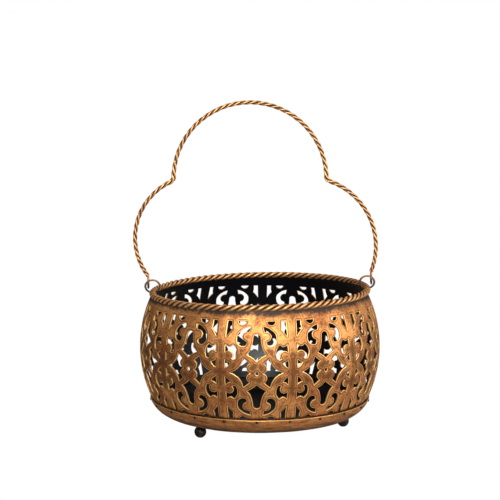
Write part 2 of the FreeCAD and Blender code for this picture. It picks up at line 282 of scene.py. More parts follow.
@dataclass(frozen=True)
class AgedSheet:
    """Gilded pierced sheet: bright cut edges, a dark line inside them and brown patina between, with painted
    shade under the rope and a painted shadow above the pan's lip.
    """

    name: str = "aged_gold_sheet"
    metallic: float = 0.86

    def build(self) -> bpy.types.Material:
        """Make the material. It reads the mesh's edge, collar, foot and inside numbers.

        Returns:
            The material.
        """
        bench = ShaderBench(self.name)
        edge = bench.attribute("edge")
        collar = bench.attribute("collar")
        foot = bench.attribute("foot")
        inside = bench.attribute("inside")
        patches = bench.cloud(38.0, 3.0)
        mottle = bench.cloud(330.0, 6.0, 0.62)
        grain = bench.cloud(1900.0, 3.0, 0.6)
        tangle = bench.cloud(95.0, 5.0, 0.6)
        speckle = bench.cloud(850.0, 4.0, 0.7)

        belt = bench.step(foot, 12.0, 34.0) * (1.0 - bench.step(foot, 50.0, 68.0))
        worn = 1.0 - bench.step(edge + tangle * 0.4 - 0.2, 0.30, 0.55)
        groove = bench.step(edge, 0.42, 0.72) * (1.0 - bench.step(edge, 0.95, 1.5))
        broad = bench.step(edge, 1.0, 2.6)
        blotch = tangle * 0.42 + mottle * 0.33 + speckle * 0.25
        patina = bench.step(blotch + belt * 0.07 + broad * 0.05, 0.51, 0.62)
        # Painted shade under the rope, with some grime: a noisy band just below the rim, painted near black
        # and made less metallic.
        rope_shade_and_grime = 1.0 - bench.step(collar + patches * 7.0 + mottle * 9.0, 10.0, 14.5)
        # Painted shadow of the gap above the pan's lip: a band along the wall's foot.
        shade = 1.0 - bench.step(foot + mottle * 1.6, 6.2, 8.6)

        colour = bench.mix(bench.step(mottle * 0.5 + patches * 0.5, 0.40, 0.60), GILDING.copper, GILDING.gold)
        colour = bench.mix(patina * (0.30 + broad * 0.40 + belt * 0.15), colour, GILDING.brown)
        colour = bench.mix(groove * (0.60 + mottle * 0.6), colour, GILDING.brown)
        colour = bench.mix(worn * (0.25 + tangle * 0.7), colour, GILDING.bright)
        # Painted shade and grime under the rope.
        colour = bench.mix(rope_shade_and_grime * 0.95, colour, GILDING.black_and_shade)
        # Painted shadow above the pan's lip.
        colour = bench.mix(shade * 0.92, colour, GILDING.black_and_shade)
        colour = bench.mix(inside, colour, LACQUER.colour)

        rough = 0.42 + mottle * 0.2 + patina * broad * 0.12 - worn * 0.06
        rough = rough * (1.0 - inside) + (LACQUER.roughness + mottle * 0.1) * inside
        bench.bump(mottle * 0.6 + speckle * 0.25 + grain * 0.15, 0.00024, 0.55)
        metal = (self.metallic - rope_shade_and_grime * 0.5) * (1.0 - inside)
        return bench.finish(
            Base_Color=colour, Roughness=rough, Metallic=metal, Specular_IOR_Level=LACQUER.gloss)


@dataclass(frozen=True)
class AgedWire:
    """Gilded twisted wire: gold on the crests of the strands, a painted highlight with some polish on the
    outermost crests, and black in the grooves.
    """

    name: str = "aged_gold_wire"
    groove_end: float = 0.54
    crest_start: float = 0.92
    groove_black_share: float = 0.97

    def build(self) -> bpy.types.Material:
        """Make the material. It reads the mesh's crest number.

        Returns:
            The material.
        """
        bench = ShaderBench(self.name)
        crest = bench.attribute("crest")
        mottle = bench.cloud(420.0, 5.0, 0.6)
        patches = bench.cloud(60.0, 3.0)
        grain = bench.cloud(2600.0, 2.0)
        clean = bench.step(crest + (mottle - 0.5) * 0.35, self.groove_end, self.crest_start)
        # Painted highlight, partly the polish of the strands: the outermost crests get the bright colour.
        polish_and_highlight = bench.step(crest + (mottle - 0.5) * 0.3, 0.80, 1.0)
        colour = bench.mix(bench.step(patches * 0.5 + mottle * 0.6, 0.42, 0.68), GILDING.copper, GILDING.gold)
        colour = bench.mix(polish_and_highlight * 0.45, colour, GILDING.bright)
        # The grooves between the strands go near black.
        colour = bench.mix((1.0 - clean) * self.groove_black_share, colour, GILDING.black_and_shade)
        bench.bump(mottle * 0.6 + grain * 0.4, 0.00012, 0.5)
        rough = 0.36 + mottle * 0.22 + (1.0 - clean) * 0.2
        return bench.finish(Base_Color=colour, Roughness=rough, Metallic=0.25 + clean * 0.62)


@dataclass(frozen=True)
class StreakedPan:
    """Gilded pan: a bright lip edge, streaks of dark patina that run round it, darker towards the bottom,
    black inside.
    """

    name: str = "streaked_gold_pan"
    metallic: float = 0.82

    def build(self) -> bpy.types.Material:
        """Make the material. It reads the mesh's lip and inside numbers.

        Returns:
            The material.
        """
        bench = ShaderBench(self.name)
        lip = bench.attribute("lip")
        inside = bench.attribute("inside")
        streaks = bench.cloud(1.0, 5.0, 0.62, bench.stretched((75.0, 75.0, 420.0)))
        mottle = bench.cloud(300.0, 6.0, 0.62)
        grain = bench.cloud(2100.0, 2.0)
        worn = 1.0 - bench.step(lip + mottle * 0.5 - 0.25, 0.25, 0.75)
        # Darker towards the bottom: browner below the lip, and near black low on the corner where the streaks
        # are.
        low = bench.step(lip, 3.0, 13.0)
        patina = bench.step(streaks * 0.7 + mottle * 0.4 + low * 0.14, 0.52, 0.70)
        colour = bench.mix(bench.step(mottle, 0.36, 0.66), GILDING.copper, GILDING.gold)
        colour = bench.mix(0.25 + low * 0.30, colour, GILDING.brown)
        colour = bench.mix(patina * 0.80, colour, GILDING.brown)
        colour = bench.mix(bench.step(lip, 9.0, 16.0) * patina * 0.7, colour, GILDING.black_and_shade)
        colour = bench.mix(worn * 0.35, colour, GILDING.bright)
        colour = bench.mix(inside, colour, LACQUER.colour)
        rough = 0.42 + mottle * 0.2 + patina * 0.12 - worn * 0.08
        rough = rough * (1.0 - inside) + (LACQUER.roughness + mottle * 0.18) * inside
        bench.bump(streaks * 0.5 + mottle * 0.4 + grain * 0.1, 0.0003, 0.5)
        metal = (1.0 - inside) * self.metallic
        return bench.finish(
            Base_Color=colour, Roughness=rough, Metallic=metal, Specular_IOR_Level=LACQUER.gloss)


@dataclass(frozen=True)
class DarkBronze:
    """Nearly black bronze with brown where hands have rubbed it."""

    name: str = "dark_bronze"
    rubbed: Colour = (0.20, 0.10, 0.045)
    rubbed_from: float = 0.50

    def build(self) -> bpy.types.Material:
        """Make the material.

        Returns:
            The material.
        """
        bench = ShaderBench(self.name)
        mottle = bench.cloud(360.0, 5.0, 0.6)
        grain = bench.cloud(1800.0, 3.0)
        rubbed = bench.step(mottle * 0.8 + grain * 0.2, self.rubbed_from, self.rubbed_from + 0.22)
        colour = bench.mix(rubbed * 0.85, GILDING.black_and_shade, self.rubbed)
        bench.bump(mottle * 0.5 + grain * 0.5, 0.00025, 0.5)
        rough = 0.30 + mottle * 0.25
        return bench.finish(Base_Color=colour, Roughness=rough, Metallic=0.6 + rubbed * 0.25)


# ---------------------------------------------------------------- mesh workbench


class Bench:
    """Modelling steps that several pieces share. Sizes are given in millimetres."""

    @staticmethod
    def clear() -> None:
        """Leave edit mode and select nothing."""
        if bpy.context.object and bpy.context.object.mode == "EDIT":
            bpy.ops.object.mode_set(mode="OBJECT")
        bpy.ops.object.select_all(action="DESELECT")

    @staticmethod
    def pick(piece: bpy.types.Object) -> None:
        """Select one piece alone and make it active."""
        Bench.clear()
        piece.select_set(True)
        bpy.context.view_layer.objects.active = piece

    @staticmethod
    def turned(name: str, profile: Sequence[Point], steps: int) -> bpy.types.Object:
        """Extrude a profile from one vertex and spin it about the Z axis.

        Args:
            name: the piece's name.
            profile: (radius, height) from the bottom of the axis round to its top.
            steps: divisions of the full turn.

        Returns:
            The turned piece, its place in its mesh.
        """
        Bench.clear()
        radius, height = profile[0]
        bpy.ops.mesh.primitive_plane_add(size=MM, location=(radius * MM, 0.0, height * MM))
        piece = bpy.context.object
        piece.name = piece.data.name = name
        bpy.ops.object.mode_set(mode="EDIT")
        bpy.ops.mesh.select_all(action="SELECT")
        bpy.ops.mesh.merge(type="CENTER")
        for before, after in zip(profile, profile[1:]):
            move = ((after[0] - before[0]) * MM, 0.0, (after[1] - before[1]) * MM)
            bpy.ops.mesh.extrude_vertices_move(TRANSFORM_OT_translate={"value": move})
        bpy.ops.mesh.select_all(action="SELECT")
        bpy.ops.mesh.spin(steps=steps, angle=math.tau, center=(0.0, 0.0, 0.0), axis=(0.0, 0.0, 1.0))
        bpy.ops.mesh.select_all(action="SELECT")
        bpy.ops.mesh.remove_doubles(threshold=0.002 * MM)
        bpy.ops.mesh.normals_make_consistent(inside=False)
        bpy.ops.object.mode_set(mode="OBJECT")
        bpy.ops.object.transform_apply(location=True, rotation=True, scale=True)
        return piece

    @staticmethod
    def wire(name: str, points: np.ndarray, radius: float, closed: bool) -> bpy.types.Object:
        """Draw a round wire along points.

        Args:
            name: the piece's name.
            points: its centre line, in millimetres.
            radius: the wire's radius.
            closed: whether its ends meet.

        Returns:
            The wire as a mesh.
        """
        Bench.clear()
        curve = bpy.data.curves.new(name, "CURVE")
        curve.dimensions = "3D"
        curve.bevel_depth = radius * MM
        curve.bevel_resolution = 2
        curve.use_fill_caps = not closed
        spline = curve.splines.new("POLY")
        spline.points.add(len(points) - 1)
        spline.points.foreach_set("co", np.column_stack([points * MM, np.ones(len(points))]).ravel())
        spline.use_cyclic_u = closed
        piece = bpy.data.objects.new(name, curve)
        bpy.context.scene.collection.objects.link(piece)
        Bench.pick(piece)
        bpy.ops.object.convert(target="MESH")
        piece.data.name = name
        return piece

    @staticmethod
    def corners(piece: bpy.types.Object) -> np.ndarray:
        """The vertices of a piece, in millimetres."""
        flat = np.zeros(len(piece.data.vertices) * 3)
        piece.data.vertices.foreach_get("co", flat)
        return flat.reshape(-1, 3) / MM

    @staticmethod
    def store(piece: bpy.types.Object, name: str, values: np.ndarray) -> None:
        """Keep a number on each vertex, for a finish to read."""
        numbers = piece.data.attributes.new(name, "FLOAT", "POINT")
        numbers.data.foreach_set("value", np.asarray(values, dtype=np.float32))

    @staticmethod
    def move(piece: bpy.types.Object, corners: np.ndarray) -> None:
        """Put a piece's vertices at new places, in millimetres."""
        piece.data.vertices.foreach_set("co", (corners * MM).ravel())
        piece.data.update()

    @staticmethod
    def join(name: str, pieces: Sequence[bpy.types.Object]) -> bpy.types.Object:
        """Make one object of several.

        Args:
            name: the joined piece's name.
            pieces: what to join.

        Returns:
            The joined piece.
        """
        Bench.pick(pieces[0])
        for piece in pieces:
            piece.select_set(True)
        bpy.ops.object.join()
        joined = bpy.context.object
        joined.name = joined.data.name = name
        return joined

    @staticmethod
    def smooth(piece: bpy.types.Object, degrees: float) -> None:
        """Shade smooth across edges flatter than an angle."""
        Bench.pick(piece)
        bpy.ops.object.shade_smooth_by_angle(angle=math.radians(degrees))


def hand_in(piece: bpy.types.Object, body: Body, nodes: Sequence[str],
            material: bpy.types.Material) -> None:
    """Dress a finished piece and give it to the frame.

    Args:
        piece: the finished piece.
        body: the body that it moves with.
        nodes: the CAD nodes that it stands for.
        material: its finish.
    """
    piece.data.materials.clear()
    piece.data.materials.append(material)
    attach(piece, body.value)
    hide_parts(*nodes)
    triangles = sum(len(face.vertices) - 2 for face in piece.data.polygons)
    log.info("%-18s on %-9s %6d triangles", piece.name, body.value, triangles)


def arc_points(centre: Point, radius: float, start: float, end: float, count: int) -> list[Point]:
    """Points round part of a circle.

    Args:
        centre: the circle's centre.
        radius: its radius.
        start: first angle, in degrees from +X.
        end: last angle, in degrees.
        count: how many steps to take.

    Returns:
        The points, both ends included.
    """
    angles = np.radians(np.linspace(start, end, count + 1))
    return [(centre[0] + radius * math.cos(a), centre[1] + radius * math.sin(a)) for a in angles]


# ---------------------------------------------------------------- the rim's frame


@dataclass(frozen=True)
class RimFrame:
    """The plane of the rope rim, a little higher on the right."""

    height: float = 101.1
    tilt: float = 1.2
    circle: float = 80.45
    ear_radius: float = 5.4
    eye_angle: float = 55.0

    def to_world(self, local: np.ndarray) -> np.ndarray:
        """Turn points of the rim's frame into the part's frame.

        Args:
            local: points, one a row, in millimetres.

        Returns:
            The points in the part's frame.
        """
        angle = math.radians(self.tilt)
        x, y, z = np.atleast_2d(local).T
        return np.column_stack([
            x * math.cos(angle) - z * math.sin(angle),
            y,
            x * math.sin(angle) + z * math.cos(angle) + self.height,
        ])

    def pivot(self, side: Side) -> np.ndarray:
        """Where a handle's eye turns on its ear, in the rim's frame.

        Args:
            side: which end of the handle.

        Returns:
            The pivot, in millimetres.
        """
        angle = math.radians(self.eye_angle)
        reach = self.circle + self.ear_radius * math.cos(angle)
        return np.array([side.value * reach, 0.0, self.ear_radius * (1.0 + math.sin(angle))])


RIM = RimFrame()


# ---------------------------------------------------------------- the pierced bowl


FLOWER_EYE: Outline = [(0, 1.6, -1.15), (0, -1.6, -1.15)]
SPADE: Outline = [
    (0, 8.3, 0.5), (6.95, 13.0, 0.5), (3.9, 17.6, 0.2), (2.6, 24.0, -3.1),
    (-2.6, 24.0, 0.2), (-3.9, 17.6, 0.5), (-6.95, 13.0, 0.5),
]
STAR: Outline = [
    (9.4, -10.4, 2.15), (19.0, 0, 2.15), (9.4, 10.4, 0), (5.0, 6.8, 2.7), (4.2, 0, 2.7), (5.0, -6.8, 0),
]
KNOT_DROP: Outline = [(22.4, 3.2, 0), (22.3, 9.0, 0.5), (18.6, 6.9, -0.5)]
BOOT: Outline = [
    (22.3, 14.0, 0), (22.1, 19.8, 0.5), (18.7, 18.0, 0.2), (16.6, 19.5, -0.6), (13.8, 14.8, -0.45),
    (15.0, 9.7, -0.5), (17.5, 10.0, 0.4), (16.5, 13.1, 1.8),
]
SCROLL: Outline = [
    (7.2, 22.0, -0.55), (8.2, 18.8, -1.95), (13.9, 23.3, -0.8), (12.0, 28.8, -0.7), (4.5, 32.5, 0),
    (5.5, 28.6, 1.0), (10.3, 26.2, 0.4), (9.3, 22.9, 0.1),
]
PENNANT: Outline = [(22.0, 25.0, 0), (21.6, 36.3, 0), (18.2, 36.3, 0.4), (17.8, 30.1, 0.3)]
HALF_MOON: Outline = [(14.0, 36.3, 0), (7.4, 36.3, -2.8)]

BOTH_WAYS = [(1, 1), (-1, 1), (1, -1), (-1, -1)]
PIERCINGS: list[tuple[Outline, list[tuple[int, int]]]] = [
    (FLOWER_EYE, [(1, 1)]),
    (SPADE, [(1, 1), (1, -1)]),
    (STAR, [(1, 1), (-1, 1)]),
    (KNOT_DROP, BOTH_WAYS),
    (BOOT, BOTH_WAYS),
    (SCROLL, BOTH_WAYS),
    (PENNANT, BOTH_WAYS),
    (HALF_MOON, BOTH_WAYS),
]


@dataclass
class Skin:
    """One flat, triangulated side of a panel in the pattern's plane."""

    points: np.ndarray
    triangles: np.ndarray
    edge: np.ndarray


@dataclass
class PiercedBowl:
    """The spun and pierced wall: eleven alike panels round a ball, with a lapped seam."""

    ball_radius: float = 90.0
    ball_height: float = 59.7
    sheet: float = 1.2
    foot_height: float = 17.2
    under_rope: float = 1.3
    panels: int = 11
    first_turn: float = -1.4
    pattern_height: float = 56.95
    step: float = 0.8
    ring_offsets: tuple[float, ...] = (0.3, 0.75, 1.35)
    grid: float = 1.7
    inner_grid: float = 3.4
    row_share: float = 0.87
    border_step: float = 1.6
    edge_drop: float = 0.11
    bead: float = 0.05
    groove: float = 0.16
    swell: float = 0.10
    lap: float = 0.38
    lap_fade: float = 16.0
    collar_start: float = 37.2
    wobble: float = 0.448
    wobble_length: float = 19.0
    wobble_seed: int = 7

    @property
    def half_width(self) -> float:
        """Half a panel's width on the ball."""
        return math.pi * self.ball_radius / self.panels

    def up_at(self, height: Union[float, np.ndarray]) -> Union[float, np.ndarray]:
        """The pattern's upward coordinate of a height on the ball."""
        rise = np.arcsin((height - self.ball_height) / self.ball_radius)
        return rise * self.ball_radius - (self.pattern_height - self.ball_height)

    @property
    def low(self) -> float:
        """The pattern's lowest coordinate."""
        return float(self.up_at(self.foot_height))

    @property
    def high(self) -> float:
        """The pattern's highest coordinate, before the top follows the rim."""
        return float(self.up_at(RIM.height - self.under_rope))

    def trace(self, outline: Outline, flips: tuple[int, int]) -> np.ndarray:
        """Walk round a pierced outline, metal on the right.

        Args:
            outline: (along, up, bow) of each corner, where bow is the rise of the edge that starts there.
            flips: signs that mirror it across and upward.

        Returns:
            Evenly spaced points round it.
        """
        walked = []
        for index, (along, up, bow) in enumerate(outline):
            start = np.array([along, up])
            end = np.array(outline[(index + 1) % len(outline)][:2])
            chord = end - start
            length = float(np.hypot(*chord))
            ahead, aside = chord / length, np.array([-chord[1], chord[0]]) / length
            half = 2.0 * math.atan(2.0 * bow / length)
            run = length * (half / math.sin(half) if bow else 1.0)
            count = max(2, round(run / self.step))
            for part in range(count):
                if bow:
                    angle = half * (2.0 * part / count - 1.0)
                    radius = length / (2.0 * math.sin(half))
                    forward = length / 2.0 + radius * math.sin(angle)
                    outward = radius * (math.cos(angle) - math.cos(half))
                    walked.append(start + ahead * forward + aside * outward)
                else:
                    walked.append(start + chord * part / count)
        points = np.array(walked) * np.array(flips)
        return points if flips[0] * flips[1] > 0 else points[::-1]

    def outlines(self) -> list[np.ndarray]:
        """Every pierced hole of one panel."""
        return [self.trace(outline, flips) for outline, copies in PIERCINGS for flips in copies]

    def border(self) -> np.ndarray:
        """The panel's outer border, walked anticlockwise from its lower left corner.

        Returns:
            Evenly spaced points.
        """
        across = np.linspace(-self.half_width, self.half_width, self.border_counts[0] + 1)
        upward = np.linspace(self.low, self.high, self.border_counts[1] + 1)
        bottom = [(x, self.low) for x in across[:-1]]
        right = [(self.half_width, y) for y in upward[:-1]]
        top = [(x, self.high) for x in across[:0:-1]]
        left = [(-self.half_width, y) for y in upward[:0:-1]]
        return np.array(bottom + right + top + left)

    @property
    def border_counts(self) -> tuple[int, int]:
        """How many steps the border takes across and upward."""
        across = round(2 * self.half_width / self.border_step)
        return across, round((self.high - self.low) / self.border_step)

    @staticmethod
    def distance(points: np.ndarray, loops: Sequence[np.ndarray]) -> np.ndarray:
        """The distance of each point from the nearest pierced edge.

        Args:
            points: where to measure.
            loops: the pierced outlines.

        Returns:
            One distance for each point.
        """
        nearest = np.full(len(points), np.inf)
        for loop in loops:
            start = loop[None]
            along = np.roll(loop, -1, axis=0)[None] - start
            offset = points[:, None] - start
            part = np.clip((offset * along).sum(2) / (along ** 2).sum(2), 0.0, 1.0)
            gap = np.linalg.norm(offset - along * part[..., None], axis=2).min(axis=1)
            nearest = np.minimum(nearest, gap)
        return nearest

    @staticmethod
    def pierced(points: np.ndarray, loops: Sequence[np.ndarray]) -> np.ndarray:
        """Whether each point lies in a hole.

        Args:
            points: where to look.
            loops: the pierced outlines.

        Returns:
            True for each point in a hole.
        """
        inside = np.zeros(len(points), dtype=bool)
        for loop in loops:
            start, end = loop, np.roll(loop, -1, axis=0)
            x, y = points[:, :1], points[:, 1:]
            crosses = (start[None, :, 1] > y) != (end[None, :, 1] > y)
            run = end[None, :, 1] - start[None, :, 1]
            run = np.where(np.abs(run) < 1e-12, 1e-12, run)
            at = start[None, :, 0] + (y - start[None, :, 1]) / run * (end[None, :, 0] - start[None, :, 0])
            inside ^= (crosses & (x < at)).sum(axis=1) % 2 == 1
        return inside

    def rings(self, loops: Sequence[np.ndarray]) -> np.ndarray:
        """Points set back from the pierced edges, row by row, where they don't crowd each other.

        Args:
            loops: the pierced outlines.

        Returns:
            The points of all the rows.
        """
        kept = np.zeros((0, 2))
        for offset in self.ring_offsets:
            rows = []
            for loop in loops:
                along = np.roll(loop, -1, axis=0) - np.roll(loop, 1, axis=0)
                outward = np.column_stack([along[:, 1], -along[:, 0]])
                outward /= np.linalg.norm(outward, axis=1)[:, None]
                rows.append(loop + outward * offset)
            row = np.concatenate(rows)
            row = row[(self.distance(row, loops) > offset * 0.9) & self.within(row, 0.4)]
            kept = self.thinned(kept, row, 0.42 + offset * 0.2)
        return kept

    def within(self, points: np.ndarray, margin: float) -> np.ndarray:
        """Whether each point lies inside the panel's border by a margin."""
        across = np.abs(points[:, 0]) < self.half_width - margin
        return across & (points[:, 1] > self.low + margin) & (points[:, 1] < self.high - margin)

    @staticmethod
    def thinned(kept: np.ndarray, more: np.ndarray, gap: float) -> np.ndarray:
        """Add points one by one where no kept point is nearer than a gap.

        Args:
            kept: the points already there.
            more: the points to add.
            gap: the least distance.

        Returns:
            All the kept points.
        """
        cells: dict[tuple[int, int], list[np.ndarray]] = {}
        result = []

        def cell(point: np.ndarray) -> tuple[int, int]:
            """The grid cell of a point."""
            return int(point[0] // gap), int(point[1] // gap)

        for point in kept:
            cells.setdefault(cell(point), []).append(point)
            result.append(point)
        for point in more:
            column, row = cell(point)
            near = [other for i in (-1, 0, 1) for j in (-1, 0, 1)
                    for other in cells.get((column + i, row + j), [])]
            if all(np.hypot(*(point - other)) > gap for other in near):
                cells.setdefault((column, row), []).append(point)
                result.append(point)
        return np.array(result)

    def field(self, loops: Sequence[np.ndarray], spacing: float, clear: float) -> np.ndarray:
        """Staggered points over the metal, away from the pierced edges and the border.

        Args:
            loops: the pierced outlines.
            spacing: the distance between points.
            clear: how far they stay from the pierced edges.

        Returns:
            The points.
        """
        rows = []
        margin = spacing * 0.5
        levels = np.arange(self.low + spacing, self.high - margin, spacing * self.row_share)
        for index, up in enumerate(levels):
            start = spacing * 0.6 + spacing / 2 * (index % 2) - self.half_width
            across = np.arange(start, self.half_width - margin, spacing)
            rows.append(np.column_stack([across, np.full(len(across), up)]))
        points = np.concatenate(rows)
        open_metal = ~self.pierced(points, loops) & (self.distance(points, loops) > clear)
        return points[open_metal]

    def skin(self, loops: Sequence[np.ndarray], extra: np.ndarray) -> Skin:
        """Triangulate one side of the panel.

        Args:
            loops: the pierced outlines.
            extra: further points in the metal.

        Returns:
            The skin, whose first points are the border's and then the outlines' own.
        """
        rounds = [self.border(), *loops]
        links = []
        start = 0
        for loop in rounds:
            count = len(loop)
            links += [(start + i, start + (i + 1) % count) for i in range(count)]
            start += count
        points = np.concatenate([*rounds, extra])
        found = delaunay_2d_cdt([Vector(p) for p in points], links, [], 0, 1e-7, False)
        points = np.array([tuple(v) for v in found[0]])
        triangles = np.array([face for face in found[2] if len(face) == 3])
        centres = points[triangles].mean(axis=1)
        triangles = triangles[~self.pierced(centres, loops)]
        return Skin(points, triangles, self.distance(points, loops))

    def relief(self, edge: np.ndarray) -> np.ndarray:
        """The height of the embossed surface at a distance from the nearest pierced edge.

        Args:
            edge: the distance of each point.

        Returns:
            The height of each point.
        """
        offsets = (0.0, 0.3, 0.75, 1.35, 3.2)
        heights = (-self.edge_drop, self.bead, -self.groove, self.swell * 0.4, self.swell)
        return np.interp(edge, offsets, heights)

    def on_ball(self, points: np.ndarray, turn: float, depth: np.ndarray) -> np.ndarray:
        """Lay a panel's points on the ball.

        Args:
            points: (along, up) in the pattern.
            turn: the panel's turn about the bowl's axis, in radians.
            depth: height above the ball's surface, at each point.

        Returns:
            The places, in millimetres.
        """
        azimuth = turn + points[:, 0] / self.ball_radius
        rim = RIM.height - self.under_rope + np.sin(azimuth) * RIM.circle * math.tan(math.radians(RIM.tilt))
        collar = np.clip((points[:, 1] - self.collar_start) / (self.high - self.collar_start), 0.0, 1.0)
        up = points[:, 1] + collar * (self.up_at(rim) - self.high)
        seam = math.radians(self.first_turn) - math.pi / self.panels
        past = (azimuth - seam) * self.ball_radius
        past = np.where(past < -1e-6, past + math.tau * self.ball_radius, past)
        radius = self.ball_radius + depth + self.lap * np.exp(-past / self.lap_fade)
        rise = (self.pattern_height - self.ball_height + up) / self.ball_radius
        flat = radius * np.cos(rise)
        height = self.ball_height + radius * np.sin(rise)
        places = np.column_stack([flat * np.sin(azimuth), -flat * np.cos(azimuth), height])
        return places + self.wander(places, points[:, 1])

    def wander(self, places: np.ndarray, up: np.ndarray) -> np.ndarray:
        """The small hand-cut wander of the pattern along the ball's surface.

        Args:
            places: points on the ball.
            up: their upward coordinate in the pattern.

        Returns:
            The shift of each point.
        """
        drift = np.array([noise.noise_vector(Vector(p) / self.wobble_length) for p in places])
        outward = places - np.array([0.0, 0.0, self.ball_height])
        outward /= np.linalg.norm(outward, axis=1)[:, None]
        drift -= outward * (drift * outward).sum(axis=1)[:, None]
        calm = np.clip((self.high - up) / 6.0, 0.0, 1.0) * np.clip((up - self.low) / 6.0, 0.0, 1.0)
        return drift * (self.wobble * calm)[:, None]

    def closing_faces(self, loops: Sequence[np.ndarray], outer: int, inner: int) -> list[tuple[int, ...]]:
        """The cut walls of one panel's holes and of its foot and top.

        Args:
            loops: the pierced outlines.
            outer: index of the outer skin's first vertex.
            inner: index of the inner skin's first vertex.

        Returns:
            Four-cornered faces.
        """
        across, upward = self.border_counts
        top = across + upward
        rims = [*range(across), *range(top, top + across)]
        faces = [(outer + i, inner + i, inner + i + 1, outer + i + 1) for i in rims]
        start = 2 * top
        for loop in loops:
            count = len(loop)
            for i in range(count):
                here, after = start + i, start + (i + 1) % count
                faces.append((outer + here, outer + after, inner + after, inner + here))
            start += count
        return faces

    def seam_faces(self, last: tuple[int, int], first: tuple[int, int]) -> list[tuple[int, ...]]:
        """The step of the lapped seam, on both sides of the sheet.

        Args:
            last: first vertex of the last panel's outer and inner skins.
            first: the same for the first panel.

        Returns:
            Four-cornered faces.
        """
        across, upward = self.border_counts
        around = 2 * (across + upward)
        faces = []
        for i in range(upward):
            right, right_up = across + i, across + i + 1
            left, left_up = (around - i) % around, around - i - 1
            faces.append((last[0] + right, first[0] + left, first[0] + left_up, last[0] + right_up))
            faces.append((last[1] + right, last[1] + right_up, first[1] + left_up, first[1] + left))
        return faces

    def build(self) -> bpy.types.Object:
        """Model the wall, with its edge, collar, foot and inside numbers for the finish.

        Returns:
            The wall.
        """
        noise.seed_set(self.wobble_seed)
        loops = self.outlines()
        rings = self.rings(loops)
        outer_field = self.field(loops, self.grid, self.ring_offsets[-1] + 0.6)
        outer = self.skin(loops, np.concatenate([rings, outer_field]))
        inner = self.skin(loops, self.field(loops, self.inner_grid, self.inner_grid * 0.45))
        places, faces, starts = [], [], []
        numbers: dict[str, list[np.ndarray]] = {"edge": [], "up": [], "inside": []}
        count = 0
        for panel in range(self.panels):
            turn = math.radians(self.first_turn) + math.tau * panel / self.panels
            begin = (count, count + len(outer.points))
            starts.append(begin)
            places.append(self.on_ball(outer.points, turn, self.relief(outer.edge)))
            places.append(self.on_ball(inner.points, turn, np.full(len(inner.points), -self.sheet)))
            faces += [tuple(int(v) + begin[0] for v in face) for face in outer.triangles]
            faces += [tuple(int(v) + begin[1] for v in face[::-1]) for face in inner.triangles]
            faces += self.closing_faces(loops, *begin)
            for side, skin in ((0.0, outer), (1.0, inner)):
                numbers["edge"].append(skin.edge)
                numbers["up"].append(skin.points[:, 1])
                numbers["inside"].append(np.full(len(skin.points), side))
            count += len(outer.points) + len(inner.points)
        faces += self.seam_faces(starts[-1], starts[0])
        mesh = bpy.data.meshes.new("fretwork_wall")
        mesh.from_pydata((np.concatenate(places) * MM).tolist(), [], faces)
        wall = bpy.data.objects.new("fretwork_wall", mesh)
        bpy.context.scene.collection.objects.link(wall)
        up = np.concatenate(numbers["up"])
        Bench.store(wall, "edge", np.concatenate(numbers["edge"]))
        Bench.store(wall, "collar", self.high - up)
        Bench.store(wall, "foot", up - self.low)
        Bench.store(wall, "inside", np.concatenate(numbers["inside"]))
        Bench.pick(wall)
        bpy.ops.object.mode_set(mode="EDIT")
        bpy.ops.mesh.select_all(action="SELECT")
        bpy.ops.mesh.remove_doubles(threshold=0.01 * MM)
        bpy.ops.object.mode_set(mode="OBJECT")
        Bench.smooth(wall, 42.0)
        return wall

    def dress(self, material: bpy.types.Material) -> None:
        """Build the wall and hand it in.

        Args:
            material: the finish.
        """
        hand_in(self.build(), Body.BOWL, ["pierced_wall"], material)


# ---------------------------------------------------------------- the pan, its rivets and feet


